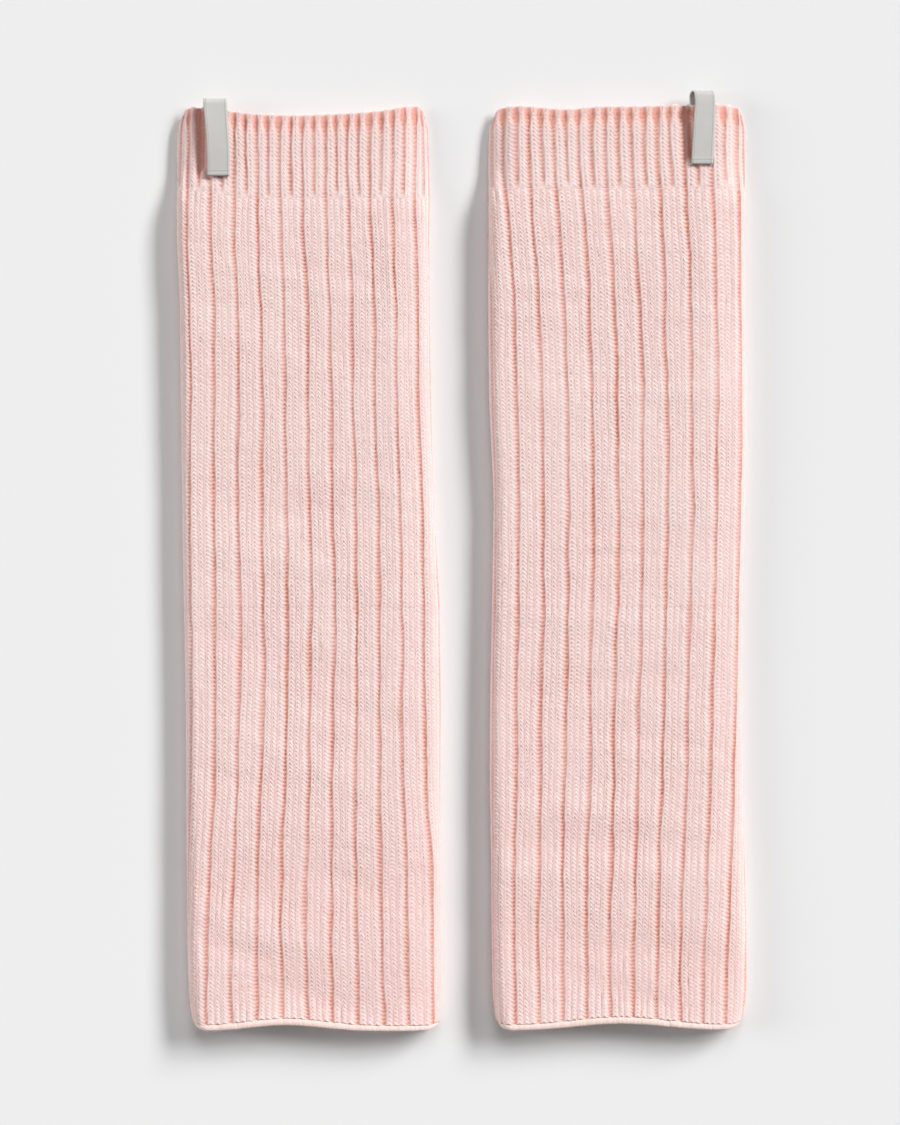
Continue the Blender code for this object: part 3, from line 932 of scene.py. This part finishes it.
# The powers of a cosine and a sine that make the roll's section an oval, and how much it swells by
# its threads and by puckers, which change over PUCKER_COLUMNS, and how much of that goes up.
OVAL_IN = 0.7
OVAL_UP = 0.8
HEM_THREAD = 0.05
HEM_PUCKER = 0.11
PUCKER_COLUMNS = 7
SWELL_UP = 0.3

# How tall the roll is, as shares of HEM_TOP: at the corners, and how much more in the middle of the
# arch, by a bell HEM_SPREAD times as wide as the arch. BAND_WIDTH turns a place into an x, and
# HEM_THREADS is how finely the yarn's tone changes across the needles and round the roll.
HEM_CORNER = 0.69
HEM_MIDDLE = 0.24
HEM_SPREAD = 1.6
BAND_WIDTH = 11.3
HEM_CREAM = (0.85, 0.70, 0.645)
HEM_SHADE = (0.78, 0.55, 0.48)
HEM_THREADS = (7.0, 0.35, 1.0)


def hem_finish():
    """Pale threads side by side: a noise drawn out along them picks the tone and makes the bump."""
    yarn = Finish("hem yarn")
    uv = yarn.node("ShaderNodeUVMap", {}, uv_map="stitches").outputs[0]
    stretch = yarn.node("ShaderNodeMapping", {"Vector": uv, "Scale": HEM_THREADS}).outputs[0]
    noise = {"Vector": stretch, "Scale": 1.0, "Detail": 3.0}
    threads = yarn.node("ShaderNodeTexNoise", noise).outputs[0]
    yarn.feed(
        yarn.shader,
        {
            "Base Color": yarn.ramp(threads, ((0.3, HEM_SHADE), (0.6, HEM_CREAM))),
            "Normal": yarn.bump(threads, strength=0.5, distance=0.0002),
            "Roughness": 0.75,
            "Specular IOR Level": 0.25,
            "Sheen Weight": 0.2,
        },
    )
    return yarn.material


hem_yarn = hem_finish()


def make_hem(warmer, rng):
    """One hem: an oval bead carried round the foot, taller in the middle of the arch.

    Its section goes round by a cosine and a sine, each raised to a power that squares it off. It
    swells and shrinks by fine threads and by slower puckers.
    """
    around = np.linspace(-SIDE_BANDS, ROUND_BANDS - SIDE_BANDS, HEM_COLUMNS + 1)[:-1]
    angle = np.linspace(0, 2 * np.pi, HEM_POINTS, endpoint=False)[:, None]
    threads = rng.normal(size=HEM_COLUMNS)
    pucker = slow_noise(rng, HEM_COLUMNS, 1, PUCKER_COLUMNS)[:, 0]
    swell = HEM_THREAD * threads + HEM_PUCKER * pucker
    half_wall = WALL / 2
    half_height = HEM_TOP / 2
    turn_in = np.sign(np.cos(angle)) * np.abs(np.cos(angle)) ** OVAL_IN
    turn_up = np.sign(np.sin(angle)) * np.abs(np.sin(angle)) ** OVAL_UP
    inset = half_wall - half_wall * turn_in - swell * turn_in
    arch = warmer.hem_curve
    off = ((around - TOP_BANDS / 2) * BAND_WIDTH - arch.centre) / arch.half_width
    tall = HEM_CORNER + HEM_MIDDLE * np.exp(-((off / HEM_SPREAD) ** 2))
    rise = HEM_TOP - (half_height - half_height * turn_up - SWELL_UP * swell) * tall
    heights = (half_height + half_height * turn_up)[:, 0]
    points = tube_points(warmer, heights, around, np.maximum(inset, 0.0), rise - heights[:, None])
    needle = np.linspace(0, ROUND_BANDS * NEEDLES_IN_BAND, HEM_COLUMNS + 1)
    course = angle[:, 0] / (2 * np.pi) * HEM_COURSES
    piece = fill_wall(f"{warmer.name}_hem_roll", points, needle, course, ())
    piece.data.materials.append(hem_yarn)
    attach(piece, "root")
    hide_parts(f"{warmer.name}_hem")
    return piece


for seed, warmer in enumerate(WARMERS, 51):
    make_hem(warmer, np.random.default_rng(seed))

# ---------------------------------------------------------------------------------------------
# The labels: a bare satin ribbon folded over each cuff's edge and stitched through near its lower
# end, one leg of the loop on the cuff and the other inside it. The loop stands off the cuff, most
# on its left side, and its ends are turned under.
# ---------------------------------------------------------------------------------------------
# The ribbon's middle lies RIBBON_CLEAR off the knit, and its inner leg swings over to its own line
# within INNER_SWING of the mouth.
RIBBON_THICK = 0.45
RIBBON_ACROSS = 15
LOOP_STEPS = 16
RIBBON_STEPS = 44
RIBBON_CLEAR = 0.7
INNER_SWING = 9.0

# The turned end, how much thicker the ribbon is there and outside SELVEDGE_FROM of its half width.
TURNED_END = 2.2
TURNED_THICKER = 0.8
SELVEDGE_FROM = 0.85
SELVEDGE_THICKER = 0.25

# The dark lines along the woven edges and above the turned end: where, half how wide, how dark.
# Then the weave: its threads across the ribbon and in a millimetre of its length, and its tone.
Line = namedtuple("Line", "middle half_width tone")
EDGE_LINE = Line(0.80, 0.035, 0.4)
END_LINE = Line(TURNED_END, 0.16, 0.75)
WARP_THREADS = 34.0
WEFT_THREADS = 3.0
WEAVE_TONE = 0.04
RIBBON_GREY = (0.52, 0.515, 0.49, 1.0)
SELVEDGE_GREY = (0.22, 0.22, 0.21, 1.0)

# The loop's outer leg at a height: its centre line, its width, how far it stands off the cuff and
# how much further its left edge does. The inner leg is shifted sideways.
Strip = namedtuple("Strip", "height x width off tip")
Loop = namedtuple("Loop", "top inner_shift strips")
LOOPS = {
    "left": Loop(
        top=420.3,
        inner_shift=-0.3,
        strips=(
            Strip(385.2, -40.5, 10.1, 0.0, 0.0),
            Strip(388.0, -40.4, 10.2, 0.2, 0.2),
            Strip(394.0, -40.4, 10.3, 0.7, 0.5),
            Strip(401.0, -40.6, 10.2, 1.2, 0.7),
            Strip(409.3, -41.3, 10.3, 1.5, 0.7),
            Strip(418.0, -42.0, 10.6, 1.4, 0.5),
        ),
    ),
    "right": Loop(
        top=423.6,
        inner_shift=-1.9,
        strips=(
            Strip(390.3, 37.7, 9.7, 0.0, 0.0),
            Strip(393.5, 37.8, 9.7, 0.2, 0.2),
            Strip(401.2, 38.3, 9.7, 0.7, 0.4),
            Strip(412.4, 38.8, 9.6, 1.2, 0.8),
            Strip(418.0, 39.1, 9.2, 1.3, 1.0),
            Strip(421.0, 38.9, 9.2, 1.2, 1.0),
        ),
    ),
}


def ribbon_finish():
    """Grey satin: a fine weave, a darker line inside each woven edge and one above the turned end.

    The weave is a sine across the ribbon times one along it, and tones and bumps it.
    """
    cloth = Finish("satin ribbon")
    maths = cloth.maths
    across, along = cloth.map_parts("ribbon")

    def line_at(distance, line):
        off = maths("ABSOLUTE", maths("SUBTRACT", distance, line.middle))
        return maths("MULTIPLY", maths("LESS_THAN", off, line.half_width), line.tone)

    from_middle = maths("ABSOLUTE", maths("SUBTRACT", maths("MULTIPLY", across, 2.0), 1.0))
    lines = maths("MAXIMUM", line_at(from_middle, EDGE_LINE), line_at(along, END_LINE))
    weft = maths("SINE", maths("MULTIPLY", along, 2 * np.pi * WEFT_THREADS))
    warp = maths("SINE", maths("MULTIPLY", across, 2 * np.pi * WARP_THREADS))
    weave = maths("MULTIPLY", weft, warp)
    dark = maths("ADD", lines, maths("MULTIPLY", weave, WEAVE_TONE))
    # A mix node of colours: its factor is input 0, its two colours 6 and 7, and its result 2.
    greys = {0: dark, 6: RIBBON_GREY, 7: SELVEDGE_GREY}
    cloth.feed(
        cloth.shader,
        {
            "Base Color": cloth.node("ShaderNodeMix", greys, data_type="RGBA").outputs[2],
            "Normal": cloth.bump(weave, strength=0.4, distance=0.0001),
            "Roughness": 0.42,
            "Sheen Weight": 0.15,
        },
    )
    return cloth.material


satin = ribbon_finish()


def make_label(warmer):
    """One loop: a strip along a path, up inside the cuff, round a half circle, and down outside.

    Its path is a line of centres with a height above the table, and its section is a flat oblong
    set square to the path. The turned end and the woven edges make it a little thicker. It gives
    the sections' points, the ribbon's length from each to the outer end, and the places across it.
    """
    loop = LOOPS[warmer.name]
    foot = loop.strips[0].height
    mouth_thick = warmer.rows[-1].thick
    inner_z = mouth_thick - WALL - RIBBON_CLEAR
    outer_z = mouth_thick + RIBBON_CLEAR + loop.strips[-1].off
    bend = (outer_z - inner_z) / 2
    bend_y = loop.top - bend
    down = np.linspace(bend_y, foot, RIBBON_STEPS)
    angle = np.linspace(0, np.pi, LOOP_STEPS + 2)[1:-1]
    turned = (1 - np.cos(angle)) / 2
    strip = Strip(*(value[:, 0] for value in rows_at(loop.strips, down)))
    cuff_top = rows_at(warmer.rows, np.minimum(down, warmer.mouth)).thick[:, 0]
    come_in = ease(down[::-1], warmer.mouth - INNER_SWING, warmer.mouth)

    def along_loop(inner_leg, round_bend, outer_leg):
        parts = ((inner_leg, RIBBON_STEPS), (round_bend, LOOP_STEPS), (outer_leg, RIBBON_STEPS))
        return np.concatenate([np.broadcast_to(values, steps) for values, steps in parts])

    y = along_loop(down[::-1], bend_y + bend * np.sin(angle), down)
    outer_leg_z = cuff_top + RIBBON_CLEAR + strip.off
    z = along_loop(inner_z, inner_z + bend * (1 - np.cos(angle)), outer_leg_z)
    tip = along_loop(0.0, strip.tip[0] * turned, strip.tip)
    half_width = along_loop(strip.width[::-1], strip.width[0], strip.width) / 2
    shift = loop.inner_shift * along_loop(come_in, 1 - turned, 0.0)
    middle = along_loop(strip.x[::-1], strip.x[0], strip.x) + shift
    across = np.linspace(-1, 1, RIBBON_ACROSS)
    x = middle[:, None] + half_width[:, None] * across
    lifted = z[:, None] + tip[:, None] * (1 - across) / 2
    along_y = np.gradient(y)
    along_z = np.gradient(z)
    size = np.hypot(along_y, along_z)
    length = np.cumsum(size[::-1])[::-1] - size[-1]
    thicker = 1 + SELVEDGE_THICKER * (np.abs(across) > SELVEDGE_FROM)
    thicker = thicker + TURNED_THICKER * (length < TURNED_END)[:, None]
    half = RIBBON_THICK / 2 * thicker
    out_y = -(along_z / size)[:, None] * half
    out_z = (along_y / size)[:, None] * half
    y = np.broadcast_to(y[:, None], x.shape)
    faces_out = np.stack((x, y + out_y, lifted + out_z), axis=-1)
    faces_in = np.stack((x, y - out_y, lifted - out_z), axis=-1)
    section = np.concatenate((faces_out, faces_in[:, ::-1]), axis=1)
    return section, length, across


ribbons = {}
for warmer in WARMERS:
    section, length, across = make_label(warmer)
    points = section * MM + np.array((*origin(warmer), 0.0))
    steps, sides = points.shape[:2]
    step, side = np.meshgrid(np.arange(steps - 1), np.arange(sides), indexing="ij")
    next_side = (side + 1) % sides
    near = step * sides
    far = near + sides
    quads = np.stack((near + side, near + next_side, far + next_side, far + side), axis=-1)
    ends = [tuple(range(sides))[::-1], tuple(range((steps - 1) * sides, steps * sides))]
    mesh = bpy.data.meshes.new(f"{warmer.name}_ribbon")
    mesh.from_pydata(points.reshape(-1, 3).tolist(), [], quads.reshape(-1, 4).tolist() + ends)
    mesh.shade_smooth()
    place = np.concatenate(((across + 1) / 2, (across[::-1] + 1) / 2))
    layer = mesh.uv_layers.new(name="ribbon")
    index = np.empty(len(mesh.loops), np.int32)
    mesh.loops.foreach_get("vertex_index", index)
    uv = np.stack((place[index % sides], length[index // sides]), axis=-1)
    layer.data.foreach_set("uv", uv.ravel())
    ribbon = bpy.data.objects.new(f"{warmer.name}_ribbon", mesh)
    bpy.context.scene.collection.objects.link(ribbon)
    ribbon.data.materials.append(satin)
    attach(ribbon, "root")
    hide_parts(f"{warmer.name}_label")
    ribbons[warmer.name] = (ribbon, float(length[0]) * MM)

# ---------------------------------------------------------------------------------------------
# The table top, the light and the camera: a plain pale surface, a long soft key lamp on the right,
# made of three in a row, a wide lamp from the far side, a faint low one from the left that fills
# the shadows, and a little light from all round.
# ---------------------------------------------------------------------------------------------
FLOOR_SIZE = 3.0
FLOOR_TONE = (0.80, 0.80, 0.80, 1.0)

floor_mesh = bpy.data.meshes.new("table_top")
half = FLOOR_SIZE / 2
floor_corners = [(-half, -half, 0), (half, -half, 0), (half, half, 0), (-half, half, 0)]
floor_mesh.from_pydata(floor_corners, [], [(0, 1, 2, 3)])
floor = bpy.data.objects.new("table_top", floor_mesh)
bpy.context.scene.collection.objects.link(floor)
table = Finish("pale table")
matt = {"Base Color": FLOOR_TONE, "Roughness": 1.0, "Specular IOR Level": 0.0}
table.feed(table.shader, matt)
floor_mesh.materials.append(table.material)

# A lamp: where its light comes from, as right, up and towards the viewer, its share of the light
# that falls on the table, and how wide it looks in degrees.
Lamp = namedtuple("Lamp", "name right up out share width")
TABLE_BRIGHTNESS = 0.855
table_light = TABLE_BRIGHTNESS * np.pi / FLOOR_TONE[0]
for lamp in (
    Lamp("key low", 1.55, 0.6, 1.0, 0.18, 14.0),
    Lamp("key middle", 1.55, 1.0, 1.0, 0.18, 14.0),
    Lamp("key high", 1.55, 1.5, 1.0, 0.175, 14.0),
    Lamp("far", 0.1, 1.0, 1.0, 0.17, 32.0),
    Lamp("fill", -3.2, 0.3, 1.0, 0.115, 24.0),
):
    aim = Vector((lamp.right, lamp.up, lamp.out))
    data = bpy.data.lights.new(lamp.name, "SUN")
    data.energy = lamp.share * table_light * aim.length
    data.angle = np.radians(lamp.width)
    light = bpy.data.objects.new(lamp.name, data)
    bpy.context.scene.collection.objects.link(light)
    light.rotation_euler = aim.to_track_quat("Z", "Y").to_euler()

WORLD_SHARE = 0.18
world = bpy.data.worlds.new("studio")
world.use_nodes = True
background = world.node_tree.nodes["Background"]
background.inputs["Color"].default_value = (1.0, 1.0, 1.0, 1.0)
background.inputs["Strength"].default_value = WORLD_SHARE * table_light / np.pi
bpy.context.scene.world = world
bpy.context.scene.view_settings.view_transform = "Standard"

# The camera looks straight down on this point, and its frame is VIEW_HEIGHT tall at VIEW_PLANE
# above the table, a little under the knit's crowns.
VIEW_CENTRE = (-5.3, -0.3)
VIEW_HEIGHT = 506.25
VIEW_PLANE = 8.0
LENS = 100.0
SENSOR = 36.0
distance = VIEW_HEIGHT * LENS / SENSOR
camera_data = bpy.data.cameras.new("camera")
camera_data.lens = LENS
camera_data.sensor_fit = "VERTICAL"
camera_data.sensor_height = SENSOR
camera_data.clip_end = 10.0
camera = bpy.data.objects.new("camera", camera_data)
camera.location = (VIEW_CENTRE[0] * MM, VIEW_CENTRE[1] * MM, (distance + VIEW_PLANE) * MM)
bpy.context.scene.collection.objects.link(camera)
bpy.context.scene.camera = camera

# Each sheet of cloth and the size that it was knitted or cut to. AROUND, in metres, is the way
# round a warmer: twice its flat face and its two side folds.
for warmer in WARMERS:
    ribbon, ribbon_length = ribbons[warmer.name]
